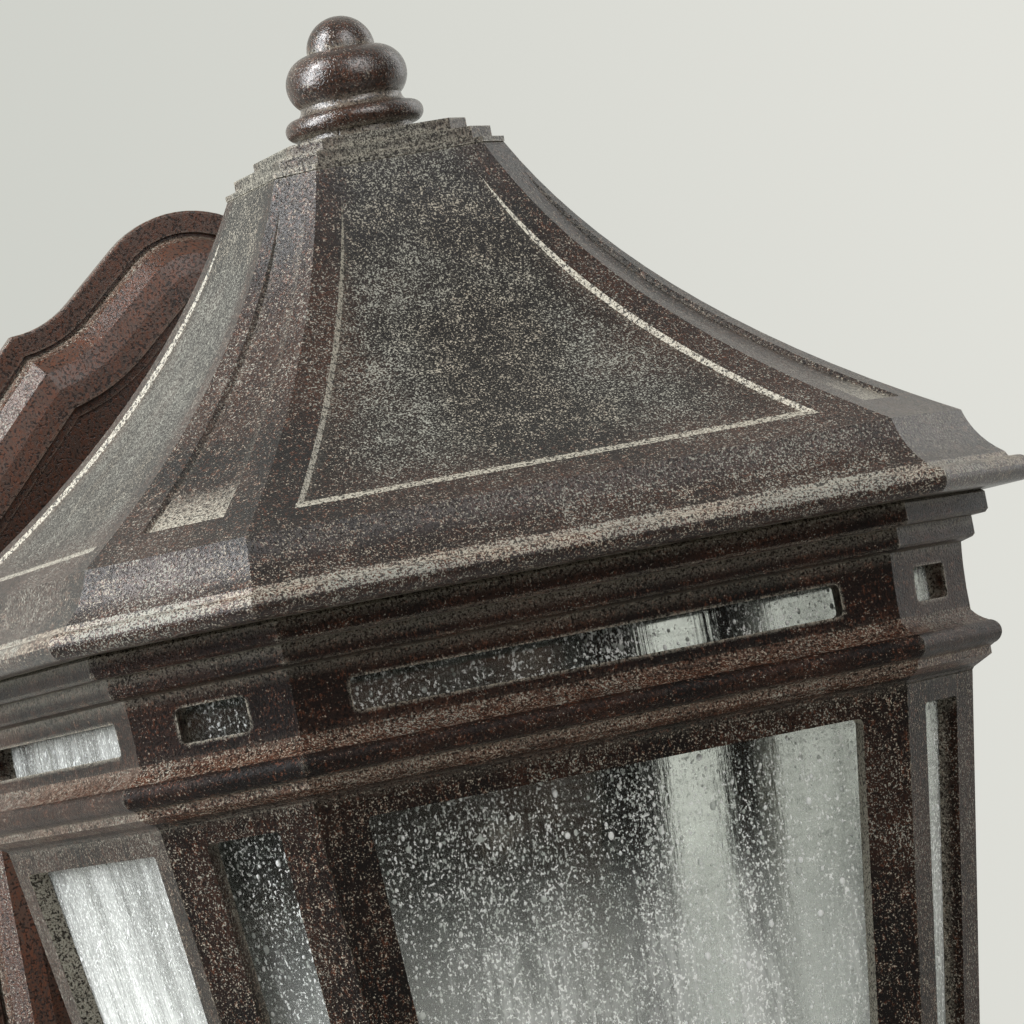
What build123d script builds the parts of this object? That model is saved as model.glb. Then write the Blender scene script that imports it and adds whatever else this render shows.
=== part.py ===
import os
from math import cos, radians, sin, sqrt
from build123d import *

os.makedirs("parts", exist_ok=True)

# Driving dimensions in mm. Origin: centre of the back plate's wall face, wall plane y = 0,
# the lantern stands out toward -Y, +Z is up. Lantern heights are counted from the eave bead.
axis_out = 176.0          # wall to the lantern's upright axis
eave_z = 70.0             # eave bead above the plate centre

eave_half = 125.0         # half width over the eave bead
bead_r = 3.2
skirt_low = eave_half - 5.5     # half width where the skirt cove meets the bead
skirt_top = eave_half - 13.25   # half width at the crisp arris under the roof slope
skirt_top_z = 16.5
roof_top = 30.0
roof_top_z = 104.5
roof_cut = 0.275          # corner cut as a share of the half width on the roof
roof_wall = 4.4
panel_sink = 1.5          # depth of the wide sunk roof panels
corner_sink = 2.1         # depth of the narrow ones on the corners
stud_r = 3.0
stud_gap = 0.4

eave_reach = 19.0         # how far the eave bead stands out over the frieze wall
frieze_half = eave_half - eave_reach
frieze_cut = 0.2887 * frieze_half
frieze_wall = 4.2
frieze_in = frieze_half - frieze_wall
sill = 2.7                # inner ledge at the foot of the frieze ring
frieze_top_z = -bead_r
cornice = frieze_half + 8.6
belt = frieze_half + 6.4  # half width over the belt bead
belt_z = -37.8
body_top_z = belt_z - 8.4

body_half = frieze_half - 1.9   # half width at the top of the tapered body
body_h = 225.0
body_taper = 0.146        # half width lost per mm of height
body_cut = 0.28
wall = 5.05               # body casting, measured level
rail = 5.8                # top rail of the wide windows
foot_rail = 8.5
stile_top = 11.8          # hip to window edge at the top of a wide side
stile_low = 10.3
slot_share = 0.48         # corner slot against its post's width, at the top
slot_share_low = 0.42
glass = 3.0
glass_gap = 0.1
glass_lap = 4.0

base_lip = 3.25           # how far the foot ring stands out under the body
base_h = 25.0
floor_t = 5.0
dish_h = 20.0
hub_drop = 20.8           # dish foot to the arm's centre line

arm_half = 10.0
arm_bend = 40.0
arm_stub = 9.5            # straight run off the flange before the first bend
arm_foot = 61.3           # arm's centre line above the plate's lower tip
flange_t = 5.0

plate_rise = 117.3        # plate crown above the eave bead
shoulder_x = 52.4
shoulder_drop = 26.3      # shoulder below the plate crown
rim_w = 6.0
rim_t = 4.0
roll_w = 18.0             # width of the rolled band inside the rim
roll_t = 13.0
field_t = 9.5
plate_wall = 3.4

box_screw_x = 44.45       # half spacing of the outlet box screws
box_slot = 14.0
stud_offset = 13.55       # plate stud outside its box screw
stud_margin = 11.9        # plate stud to the edge of the sunk field
plate_stud_x = box_screw_x + stud_offset
strap_half = plate_stud_x + 8.0
strap_w = 22.0
strap_t = 1.8
roll_in = rim_w + roll_w
plate_half = plate_stud_x + stud_margin + roll_in + 2.6

lamp_ring = 33.0          # lamps stand on this radius
sleeve_r = 12.0
sleeve_h = 46.0
bulb_r = 17.0
bulb_h = 76.0

reach = 2 * eave_half     # long enough to cut through any wall of the lantern

LANTERN = Plane(origin=(0, -axis_out, eave_z), x_dir=(1, 0, 0), z_dir=(0, 0, 1))
SIDE = Plane(origin=(0, -axis_out, eave_z), x_dir=(0, -1, 0), z_dir=(-1, 0, 0))
FRONT = Plane(origin=(0, -axis_out, eave_z), x_dir=(1, 0, 0), z_dir=(0, -1, 0))
AXIS = Axis((0, -axis_out, 0), (0, 0, 1))
WALL = Plane(origin=(0, 0, 0), x_dir=(1, 0, 0), z_dir=(0, -1, 0))

bare_edge = 2 - sqrt(2)   # corner cut gained per mm of even offset


def level(height):
    return LANTERN.offset(height)


def octagon(half, cut):
    flat = half - cut
    return [(flat, -half), (half, -flat), (half, flat), (flat, half),
            (-flat, half), (-half, flat), (-half, -flat), (-flat, -half)]


def ring_path(half, cut):
    """Closed path round the lantern that starts in the middle of the front face."""
    return [(0, -half)] + octagon(half, cut)


def turned(part, degrees):
    return part.rotate(AXIS, degrees)


def finish(part, label):
    part.label = label
    export_step(part, "parts/" + label + ".step")


def group(solids, label):
    finish(Compound(children=list(solids)), label)


# Roof: a hollow casting with hollow-curved slopes, sunk panels, a coved skirt and three cap steps.
with BuildLine() as slope:
    run = skirt_top - roof_top
    rise = roof_top_z - skirt_top_z
    Spline((roof_top, roof_top_z), (roof_top + 0.196 * run, skirt_top_z + 0.6875 * rise),
           (roof_top + 0.477 * run, skirt_top_z + 0.3864 * rise), (skirt_top, skirt_top_z))
slope_curve = slope.line
slope_steps = 7


def slope_point(share):
    spot = slope_curve @ share
    return spot.X, spot.Y


def slope_loft(inset, top_drop):
    """Solid under the roof slope, drawn in by an inset and with its top lowered."""
    with BuildPart() as body:
        for step in range(slope_steps):
            along = step / (slope_steps - 1)
            half, height = slope_point(along)
            with BuildSketch(level(height - top_drop * (1 - along))):
                Polygon(*octagon(half - inset, roof_cut * half - bare_edge * inset), align=None)
        loft()
    return body.part


def sunk_panel(out, width, margins, ends, depth, lean):
    """Cutter for a sunk panel on the front slope: its floor runs out at the top and its side walls lean out.
    out and width are shares of the half width, margins the hip borders at the top and at the foot,
    lean how far a side wall goes sideways for its depth."""
    over = 4.0
    with BuildPart() as cutter:
        for step in range(slope_steps):
            along = step / (slope_steps - 1)
            half, height = slope_point(ends[0] + (ends[1] - ends[0]) * along)
            face = out * half
            edge = width * half - margins[0] - (margins[1] - margins[0]) * along
            sunk = depth * (1 - (1 - along) ** 4) - 0.1
            low_edge = edge - lean * sunk
            high_edge = edge + lean * over
            with BuildSketch(level(height)):
                Polygon((-low_edge, sunk - face), (-high_edge, -over - face), (high_edge, -over - face),
                        (low_edge, sunk - face), align=None)
        loft()
    return cutter.part


outer_slope = slope_loft(0, 0)
hollow_slope = slope_loft(roof_wall, 4.0)
wide_sink = sunk_panel(1.0, 1 - roof_cut, (6.6, 10.2), (0.06, 0.921), panel_sink, 1.4)
narrow_sink = sunk_panel((2 - roof_cut) / sqrt(2), 0.56 * roof_cut / sqrt(2), (0, 0), (0.06, 0.914),
                         corner_sink, 0.6)

with BuildPart() as roof:
    add(outer_slope)
    with BuildLine(LANTERN) as eave_path:
        Polyline(*ring_path(skirt_top, roof_cut * skirt_top), close=True)
    with BuildSketch(SIDE):
        with BuildLine():
            Line((skirt_top - 4.8, skirt_top_z), (skirt_top, skirt_top_z))
            ThreePointArc((skirt_top, skirt_top_z), (skirt_top + 3.3, 9.2), (skirt_low, 4.6))
            Line((skirt_low, 4.6), (skirt_low + 0.8, bead_r))
            Line((skirt_low + 0.8, bead_r), (eave_half - bead_r, bead_r))
            ThreePointArc((eave_half - bead_r, bead_r), (eave_half, 0), (eave_half - bead_r, -bead_r))
            Line((eave_half - bead_r, -bead_r), (skirt_top - 7.0, -bead_r))
            Line((skirt_top - 7.0, -bead_r), (skirt_top - 7.0, 4.0))
            Line((skirt_top - 7.0, 4.0), (skirt_top - 4.8, skirt_top_z))
        make_face()
    sweep(path=eave_path.line, transition=Transition.RIGHT)
    add(hollow_slope, mode=Mode.SUBTRACT)
    for cap_half, foot, height in ((roof_top + 0.3, 0, 1.3), (roof_top - 2.1, 1.3, 3.2),
                                   (roof_top - 6.9, 4.5, 3.3)):
        with BuildSketch(level(roof_top_z + foot)):
            Polygon(*octagon(cap_half, roof_cut * cap_half), align=None)
        extrude(amount=height)
    for turn in range(4):
        add(turned(wide_sink, 90 * turn), mode=Mode.SUBTRACT)
        add(turned(narrow_sink, 90 * turn + 45), mode=Mode.SUBTRACT)
    with BuildSketch(level(roof_top_z + 20)):
        Circle(stud_r + stud_gap)
    extrude(amount=-40, mode=Mode.SUBTRACT)
finish(roof.part, "roof")

# Finial: turned knob with a blind bore that screws onto the roof stud.
finial_z = roof_top_z + 7.8
dome_r = 8.6
dome_z = finial_z + 23.2
with BuildPart() as finial:
    with BuildSketch(SIDE):
        with BuildLine():
            Line((0, finial_z), (14.2, finial_z))
            Line((14.2, finial_z), (14.2, finial_z + 2.4))
            Line((14.2, finial_z + 2.4), (15.0, finial_z + 2.4))
            ThreePointArc((15.0, finial_z + 2.4), (17.5, finial_z + 5.1), (15.0, finial_z + 7.8))
            ThreePointArc((15.0, finial_z + 7.8), (13.4, finial_z + 8.5), (12.8, finial_z + 10.2))
            ThreePointArc((12.8, finial_z + 10.2), (15.3, finial_z + 16.4), (dome_r, dome_z))
            ThreePointArc((dome_r, dome_z), (dome_r / sqrt(2), dome_z + dome_r / sqrt(2)),
                          (0, dome_z + dome_r))
            Line((0, dome_z + dome_r), (0, finial_z))
        make_face()
    revolve(axis=AXIS)
    with BuildSketch(level(finial_z)):
        Circle(stud_r + 0.08)
    extrude(amount=16, mode=Mode.SUBTRACT)
finish(finial.part, "finial")

# Frieze frame: the upper ring casting with cornice, slotted frieze wall and belt moulding.
cove_top_z = frieze_top_z - 11.8
cove_low_z = belt_z + 6.2
cove_h = cove_top_z - cove_low_z
slot_low_z = cove_low_z + 0.253 * cove_h
slot_high_z = cove_low_z + 0.717 * cove_h
slot_h = slot_high_z - slot_low_z
slot_mid_z = (slot_low_z + slot_high_z) / 2
long_slot_x = frieze_half - frieze_cut - 13.8
short_slot_x = 0.434 * frieze_cut / sqrt(2)
lug_z = frieze_top_z - 4.8
with BuildPart() as frieze_frame:
    with BuildLine(LANTERN) as frieze_path:
        Polyline(*ring_path(frieze_half, frieze_cut), close=True)
    with BuildSketch(SIDE):
        with BuildLine():
            Polyline((frieze_in - sill, body_top_z), (frieze_in - sill, cove_low_z - 2.4),
                     (frieze_in, cove_low_z - 2.4), (frieze_in, frieze_top_z), (cornice - 0.8, frieze_top_z),
                     (cornice, frieze_top_z - 0.8), (cornice, cove_top_z + 6.8),
                     (cornice - 0.8, cove_top_z + 6.0), (cornice - 4.0, cove_top_z + 5.8),
                     (cornice - 4.0, cove_top_z + 1.4),
                     (cornice - 4.6, cove_top_z + 0.8), (frieze_half + 1.2, cove_top_z))
            ThreePointArc((frieze_half + 1.2, cove_top_z), (frieze_half + 0.5, slot_mid_z),
                          (frieze_half + 0.4, cove_low_z))
            Line((frieze_half + 0.4, cove_low_z), (frieze_half + 1.0, cove_low_z - 0.8))
            ThreePointArc((frieze_half + 1.0, cove_low_z - 0.8), (belt - 4.0, belt_z + 4.0),
                          (belt - 2.4, belt_z + 3.0))
            ThreePointArc((belt - 2.4, belt_z + 3.0), (belt, belt_z + 0.2), (belt - 2.2, belt_z - 2.8))
            Polyline((belt - 2.2, belt_z - 2.8), (belt - 3.2, belt_z - 3.4), (belt - 3.2, belt_z - 5.2),
                     (body_half + 0.6, body_top_z + 0.8), (body_half, body_top_z),
                     (frieze_in - sill, body_top_z))
        make_face()
    sweep(path=frieze_path.line, transition=Transition.RIGHT)
    with BuildSketch(FRONT) as long_slot:
        with Locations((0, slot_mid_z)):
            RectangleRounded(2 * long_slot_x, slot_h, 0.17 * slot_h)
    extrude(amount=reach, both=True, mode=Mode.SUBTRACT)
    extrude(long_slot.sketch.rotate(AXIS, 90), amount=reach, both=True, mode=Mode.SUBTRACT)
    with BuildSketch(FRONT) as short_slot:
        with Locations((0, slot_mid_z + 0.3)):
            RectangleRounded(2 * short_slot_x, slot_h + 0.6, 0.17 * slot_h)
    for turn in (45, -45):
        extrude(short_slot.sketch.rotate(AXIS, turn), amount=reach, both=True, mode=Mode.SUBTRACT)
    with Locations(LANTERN):
        with Locations((frieze_in - 5.5, 0, lug_z - 3.0), (-frieze_in + 5.5, 0, lug_z - 3.0)):
            Box(12, 18, 6)
        with Locations((frieze_in - 6, 0, lug_z - 3.0), (-frieze_in + 6, 0, lug_z - 3.0)):
            Cylinder(1.6, 8, mode=Mode.SUBTRACT)
finish(frieze_frame.part, "frieze_frame")

# Tapered body: four wide window castings and four slotted corner posts, mitred along the hips.
body_low_z = body_top_z - body_h


def body_half_at(height):
    return body_half - body_taper * (body_top_z - height)


def body_plan(height, inset):
    """Half width and corner cut of the body at a height, drawn in evenly."""
    half = body_half_at(height)
    return half - inset, body_cut * half - bare_edge * inset


def body_shell(outer, inner, top=body_top_z, low=body_low_z):
    """Tapered eight-sided shell between two insets from the outer faces."""
    with BuildPart() as shell:
        for inset, how in ((outer, Mode.ADD), (inner, Mode.SUBTRACT)):
            with BuildSketch(level(low)) as low_face:
                Polygon(*octagon(*body_plan(low, inset)), align=None)
            with BuildSketch(level(top)) as top_face:
                Polygon(*octagon(*body_plan(top, inset)), align=None)
            loft(sections=[low_face.sketch, top_face.sketch], ruled=True, mode=how)
    return shell.part


def face_outline(top_z, top_w, low_z, low_w, corner):
    """Tall outline narrowing downward, on the lantern's front plane."""
    with BuildSketch(FRONT) as outline:
        with BuildLine():
            Polyline((-low_w, low_z), (low_w, low_z), (top_w, top_z), (-top_w, top_z), close=True)
        make_face()
        if corner:
            fillet(outline.vertices(), corner)
    return outline.sketch


def wedge(low_turn, high_turn):
    """Slice of the plan between two upright planes through the axis, as slope ratios of the front."""
    with BuildPart() as slice_part:
        with BuildSketch(level(body_low_z - 1)):
            with BuildLine():
                Polyline((0, 0), (low_turn * reach, -reach), (high_turn * reach, -reach), close=True)
            make_face()
        extrude(amount=body_h + 2)
    return slice_part.part


mitre = 1 - body_cut
window_high_z = body_top_z - rail
window_low_z = body_low_z + foot_rail
window_top = mitre * body_half_at(window_high_z) - stile_top
window_low = mitre * body_half_at(window_low_z) - stile_low
slot_top = slot_share * body_cut * body_half_at(window_high_z) / sqrt(2)
slot_low = slot_share_low * body_cut * body_half_at(window_low_z) / sqrt(2)
shell = body_shell(0, wall)
shell_turned = shell.rotate(AXIS, 45)
post_mitre = body_cut / (2 - body_cut)

with BuildPart() as wide_panel:
    add(shell)
    add(wedge(-mitre + 0.001, mitre - 0.001), mode=Mode.INTERSECT)
    extrude(face_outline(window_high_z, window_top, window_low_z, window_low, 1.2), amount=reach,
            mode=Mode.SUBTRACT)

with BuildPart() as corner_post:
    add(shell_turned)
    add(wedge(-post_mitre + 0.001, post_mitre - 0.001), mode=Mode.INTERSECT)
    extrude(face_outline(window_high_z + 0.6, slot_top, window_low_z, slot_low, 1.2), amount=reach,
            mode=Mode.SUBTRACT)

pane_out = wall + glass_gap
pane_shell = body_shell(pane_out, pane_out + glass)
with BuildPart() as wide_pane:
    add(pane_shell)
    extrude(face_outline(window_high_z + glass_lap, window_top + glass_lap + 0.4, window_low_z - glass_lap,
                         window_low + glass_lap - 0.4, 0), amount=reach, mode=Mode.INTERSECT)
post_pane_shell = body_shell(pane_out, pane_out + glass).rotate(AXIS, 45)
with BuildPart() as corner_pane:
    add(post_pane_shell)
    extrude(face_outline(window_high_z + glass_lap, slot_top + 3.0, window_low_z - glass_lap,
                         slot_low + 2.6, 0), amount=reach, mode=Mode.INTERSECT)

side_names = ("front", "right", "back", "left")
corner_names = ("front_right", "back_right", "back_left", "front_left")
for index in range(4):
    finish(turned(wide_panel.part, 90 * index), side_names[index] + "_panel")
    finish(turned(wide_pane.part, 90 * index), side_names[index] + "_pane")
    finish(turned(corner_post.part, 90 * index + 45), corner_names[index] + "_post")
    finish(turned(corner_pane.part, 90 * index + 45), corner_names[index] + "_post_pane")

# Frieze panes: glass strips behind the long and short frieze slots.
frieze_gap = frieze_in - glass_gap - glass / 2
corner_in = (2 * frieze_in - (frieze_cut - bare_edge * (frieze_half - frieze_in))) / sqrt(2)
strip_h = slot_h + 5.3
with BuildPart() as long_strip:
    with Locations(LANTERN):
        with Locations((0, -frieze_gap, slot_mid_z)):
            Box(2 * long_slot_x + 8.8, glass, strip_h)
with BuildPart() as short_strip:
    with Locations(LANTERN):
        with Locations((0, -(corner_in - glass_gap - glass / 2), slot_mid_z)):
            Box(2 * short_slot_x + 6.2, glass, strip_h)
group([turned(long_strip.part, 90 * k) for k in range(4)], "frieze_panes")
group([turned(short_strip.part, 90 * k + 45) for k in range(4)], "corner_frieze_panes")

# Roof bridge: a flat bar across the frieze ring that carries the stud for the finial.
bridge_half = frieze_in - 1.0
with BuildPart() as roof_bridge:
    with BuildSketch(level(lug_z)):
        RectangleRounded(2 * bridge_half, 16, 5)
        with Locations((frieze_in - 6, 0), (-frieze_in + 6, 0)):
            Circle(2.1, mode=Mode.SUBTRACT)
        Circle(stud_r + 0.05, mode=Mode.SUBTRACT)
    extrude(amount=3)
finish(roof_bridge.part, "roof_bridge")

with BuildPart() as roof_stud:
    with BuildSketch(level(lug_z - 10)):
        Circle(stud_r)
    extrude(amount=finial_z + 14 - (lug_z - 10))
    chamfer(roof_stud.edges().filter_by(GeomType.CIRCLE), 0.6)
finish(roof_stud.part, "roof_stud")

with BuildPart() as stud_nuts:
    for nut_z in (lug_z - 5.0, lug_z + 3.0):
        with BuildSketch(level(nut_z)):
            RegularPolygon(5.0, 6, major_radius=False)
            Circle(stud_r + 0.05, mode=Mode.SUBTRACT)
        extrude(amount=5.0)
group(stud_nuts.part.solids(), "stud_nuts")


def pan_screw(head_r, shank_r, length):
    """Cross-recessed pan-head screw standing on z = 0 with its shank pointing down."""
    with BuildPart() as screw:
        with BuildSketch(Plane.XZ):
            with BuildLine():
                Polyline((0, 0), (head_r, 0), (head_r, 0.35 * head_r), (0.8 * head_r, 0.66 * head_r),
                         (0.45 * head_r, 0.8 * head_r), (0, 0.8 * head_r), close=True)
            make_face()
            with Locations((0, -length)):
                Rectangle(shank_r, length, align=(Align.MIN, Align.MIN))
        revolve(axis=Axis.Z)
        with BuildSketch(Plane.XY.offset(0.8 * head_r)):
            Rectangle(1.1 * head_r, 0.26 * head_r)
            Rectangle(0.26 * head_r, 1.1 * head_r)
        extrude(amount=-0.4 * head_r, mode=Mode.SUBTRACT)
    return screw.part


bridge_screw = pan_screw(3.6, 1.5, 6.0)
group([bridge_screw.moved(Location((side * (frieze_in - 6), -axis_out, eave_z + lug_z + 3)))
       for side in (1, -1)], "bridge_screws")

# Base tray: moulded eight-sided foot ring with a floor, and the hollow dish under it.
base_low_z = body_low_z - base_h
base_half = body_half_at(body_low_z) + base_lip
with BuildPart() as base_tray:
    with BuildLine(LANTERN) as base_path:
        Polyline(*ring_path(base_half, body_cut * base_half), close=True)
    with BuildSketch(SIDE):
        with BuildLine():
            inner = base_half - 12.0
            Polyline((inner, base_low_z), (inner, body_low_z - 3), (base_half - 9.0, body_low_z),
                     (base_half, body_low_z), (base_half, body_low_z - 2.6),
                     (base_half + 1.0, body_low_z - 2.6))
            ThreePointArc((base_half + 1.0, body_low_z - 2.6), (base_half + 3.6, body_low_z - 5.4),
                          (base_half + 1.0, body_low_z - 8.2))
            Polyline((base_half + 1.0, body_low_z - 8.2), (base_half - 1.0, body_low_z - 8.2),
                     (base_half - 1.0, body_low_z - 10.2))
            ThreePointArc((base_half - 1.0, body_low_z - 10.2), (base_half - 4.4, body_low_z - 16.2),
                          (base_half - 10.0, base_low_z + 3.4))
            Polyline((base_half - 10.0, base_low_z + 3.4), (base_half - 10.0, base_low_z),
                     (inner, base_low_z))
        make_face()
    sweep(path=base_path.line, transition=Transition.RIGHT)
    with BuildSketch(level(base_low_z)):
        Polygon(*octagon(base_half - 11.0, body_cut * (base_half - 11.0)), align=None)
        Circle(5.2, mode=Mode.SUBTRACT)
    extrude(amount=floor_t)
finish(base_tray.part, "base_tray")

dish_top = base_half - 14.0
dish_low = 21.0


def dish_loft(inset, lift):
    with BuildPart() as dish:
        for share, half in ((0, dish_top), (0.28, dish_top - 9.5), (0.62, dish_low + 10.0), (1.0, dish_low)):
            with BuildSketch(level(base_low_z - share * dish_h + lift * share)):
                Polygon(*octagon(half - inset, body_cut * half - bare_edge * inset), align=None)
        loft()
    return dish.part


with BuildPart() as base_dish:
    add(dish_loft(0, 0))
    add(dish_loft(3.5, 4.0), mode=Mode.SUBTRACT)
    with BuildSketch(level(base_low_z - dish_h)):
        Circle(5.2)
    extrude(amount=dish_h, mode=Mode.SUBTRACT)
finish(base_dish.part, "base_dish")

# Arm hub: turned boss under the dish, with the arm plugged into its back, and a drop knob below.
hub_top_z = base_low_z - dish_h
hub_z = hub_top_z - hub_drop
band = arm_half + 1.0
hub_low_z = hub_z - band - 2.0
with BuildPart() as arm_hub:
    with BuildSketch(SIDE):
        with BuildLine():
            Line((0, hub_top_z), (17.5, hub_top_z))
            ThreePointArc((17.5, hub_top_z), (18.6, hub_top_z - 1.6), (17.0, hub_top_z - 3.0))
            ThreePointArc((17.0, hub_top_z - 3.0), (14.6, hub_top_z - 5.0), (15.0, hub_z + band))
            Polyline((15.0, hub_z + band), (16.5, hub_z + band), (16.5, hub_z - band), (14.0, hub_z - band),
                     (14.0, hub_low_z), (0, hub_low_z), (0, hub_top_z))
        make_face()
    revolve(axis=AXIS)
    with BuildSketch(level(hub_low_z)):
        Circle(5.2)
    extrude(amount=hub_top_z - hub_low_z, mode=Mode.SUBTRACT)
    arm_seat = FRONT.offset(-16.6)
    with BuildSketch(arm_seat):
        with Locations((0, hub_z)):
            Polygon(*octagon(arm_half + 0.05, 0.5858 * arm_half), align=None)
    extrude(amount=6.0, mode=Mode.SUBTRACT)
finish(arm_hub.part, "arm_hub")

belly_r = sqrt(8.0 ** 2 + 5.7 ** 2)
belly_z = hub_low_z - 12.5
with BuildPart() as drop_knob:
    with BuildSketch(SIDE):
        with BuildLine():
            Line((0, hub_low_z), (11.0, hub_low_z))
            ThreePointArc((11.0, hub_low_z), (13.0, hub_low_z - 2.0), (11.0, hub_low_z - 4.0))
            ThreePointArc((11.0, hub_low_z - 4.0), (8.4, hub_low_z - 5.0), (8.0, belly_z + 5.7))
            ThreePointArc((8.0, belly_z + 5.7), (belly_r, belly_z), (5.0, belly_z - 8.45))
            ThreePointArc((5.0, belly_z - 8.45), (5.0 / sqrt(2), belly_z - 8.45 - 5.0 / sqrt(2)),
                          (0, belly_z - 13.45))
            Line((0, belly_z - 13.45), (0, hub_low_z))
        make_face()
    revolve(axis=AXIS)
    with BuildSketch(level(hub_low_z)):
        Circle(5.05)
    extrude(amount=-9.0, mode=Mode.SUBTRACT)
finish(drop_knob.part, "drop_knob")

# Gooseneck arm: an eight-sided bar swept from the plate down behind the body and forward to the hub.
ARM = Plane(origin=(0, -axis_out, eave_z), x_dir=(0, 1, 0), z_dir=(1, 0, 0))
plate_top = eave_z + plate_rise
arm_plate_z = arm_foot - plate_top - eave_z
arm_start = axis_out - field_t - flange_t
arm_drop = arm_start - arm_stub - arm_bend
with BuildPart() as arm:
    with BuildLine(ARM) as arm_path:
        Line((arm_start, arm_plate_z), (arm_drop + arm_bend, arm_plate_z))
        RadiusArc((arm_drop + arm_bend, arm_plate_z), (arm_drop, arm_plate_z - arm_bend), -arm_bend)
        Line((arm_drop, arm_plate_z - arm_bend), (arm_drop, hub_z + arm_bend))
        RadiusArc((arm_drop, hub_z + arm_bend), (arm_drop - arm_bend, hub_z), arm_bend)
        Line((arm_drop - arm_bend, hub_z), (10.8, hub_z))
    with BuildSketch(Plane(origin=(0, -axis_out + arm_start, eave_z + arm_plate_z), x_dir=(1, 0, 0),
                           z_dir=(0, -1, 0))):
        Polygon(*octagon(arm_half, 0.5858 * arm_half), align=None)
    sweep(path=arm_path.line)
finish(arm.part, "arm")

with BuildPart() as arm_flange:
    with BuildSketch(WALL.offset(field_t)):
        with Locations((0, eave_z + arm_plate_z)):
            Polygon(*octagon(arm_half + 9.0, 7.0), align=None)
    extrude(amount=flange_t)
    chamfer(arm_flange.faces().sort_by(Axis.Y)[0].edges(), 2.0)
    with BuildSketch(WALL.offset(field_t)):
        with Locations((12.0, eave_z + arm_plate_z), (-12.0, eave_z + arm_plate_z)):
            Circle(1.6)
    extrude(amount=4.0, mode=Mode.SUBTRACT)
finish(arm_flange.part, "arm_flange")

# Back plate: a pan with an arched crown, hollow sweeps, shouldered corners, rim, rolled band and field.
shoulder_z = plate_top - shoulder_drop
side_z = shoulder_z - (plate_half - shoulder_x)


def plate_outline(depth, inset):
    """Outline of the plate drawn in evenly, on a plane that many mm off the wall."""
    with BuildSketch(WALL.offset(depth)) as outline:
        with BuildLine():
            crown = TangentArc((0, plate_top), (0.374 * shoulder_x, plate_top - 0.27 * shoulder_drop),
                               tangent=(1, 0))
            flank = Line(crown @ 1, (0.658 * shoulder_x, plate_top - 0.7414 * shoulder_drop))
            TangentArc(flank @ 1, (shoulder_x, shoulder_z), tangent=flank % 1)
            Polyline((shoulder_x, shoulder_z), (plate_half, side_z), (plate_half, 0))
            mirror(about=Plane.YZ)
            mirror(about=Plane.XZ)
        make_face()
        if inset:
            offset(amount=-inset, kind=Kind.INTERSECTION, mode=Mode.REPLACE)
    return outline.sketch


def plate_band(low, low_in, high, high_in):
    with BuildPart() as band:
        loft(sections=[plate_outline(low, low_in), plate_outline(high, high_in)], ruled=True)
    return band.part


with BuildPart() as backplate:
    extrude(plate_outline(0, 0), amount=rim_t)
    fillet(backplate.faces().sort_by(Axis.Y)[0].edges(), 0.8)
    extrude(plate_outline(rim_t, rim_w), amount=-1.4, mode=Mode.SUBTRACT)
    add(plate_band(rim_t - 1.6, rim_w + 0.8, rim_t + 2.8, rim_w + 2.6))
    add(plate_band(rim_t + 2.8, rim_w + 2.6, roll_t - 2.2, rim_w + 6.6))
    add(plate_band(roll_t - 2.2, rim_w + 6.6, roll_t - 0.4, rim_w + 12.0))
    add(plate_band(roll_t - 0.4, rim_w + 12.0, roll_t, roll_in - 0.6))
    extrude(plate_outline(field_t + 1.0, roll_in), amount=6, mode=Mode.SUBTRACT)
    extrude(plate_outline(field_t, roll_in + 2.6), amount=6, mode=Mode.SUBTRACT)
    extrude(plate_outline(0, rim_w + 6.0), amount=field_t - plate_wall - 1.6, mode=Mode.SUBTRACT)
    extrude(plate_outline(0, rim_w + 11.0), amount=field_t - plate_wall, mode=Mode.SUBTRACT)
    with BuildSketch(WALL):
        with Locations((plate_stud_x, 0), (-plate_stud_x, 0)):
            Circle(2.5)
        with Locations((12.0, eave_z + arm_plate_z), (-12.0, eave_z + arm_plate_z)):
            Circle(2.1)
    extrude(amount=20, mode=Mode.SUBTRACT)
finish(backplate.part, "backplate")

arm_screw = pan_screw(3.4, 1.5, plate_wall + 3.6)
group([arm_screw.moved(Location((side * 12.0, -(field_t - plate_wall), eave_z + arm_plate_z), (-90, 0, 0)))
       for side in (1, -1)], "arm_screws")

# Mounting strap: steel bar on the wall with slots for the outlet box screws and studs for the plate.
with BuildPart() as mounting_strap:
    with BuildSketch(WALL):
        RectangleRounded(2 * strap_half, strap_w, 4)
        Circle(6.5, mode=Mode.SUBTRACT)
        with Locations((box_screw_x, 0), (-box_screw_x, 0)):
            SlotCenterToCenter(box_slot - 4.8, 4.8, mode=Mode.SUBTRACT)
        with Locations((plate_stud_x, 0), (-plate_stud_x, 0)):
            Circle(2.06, mode=Mode.SUBTRACT)
        with Locations((20, 5)):
            Circle(1.9, mode=Mode.SUBTRACT)
    extrude(amount=strap_t)
finish(mounting_strap.part, "mounting_strap")

ground_screw = pan_screw(4.0, 1.85, strap_t)
finish(ground_screw.moved(Location((20, -strap_t, 5), (90, 0, 0))), "ground_screw")

with BuildPart() as plate_stud:
    with BuildSketch(WALL.offset(0.2)):
        Circle(2.0)
    extrude(amount=field_t + 6.5)
    with BuildSketch(WALL.offset(strap_t)):
        RegularPolygon(3.6, 6, major_radius=False)
        Circle(2.0, mode=Mode.SUBTRACT)
    extrude(amount=2.2)
group([plate_stud.part.moved(Location((side * plate_stud_x, 0, 0))) for side in (1, -1)], "plate_studs")

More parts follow.
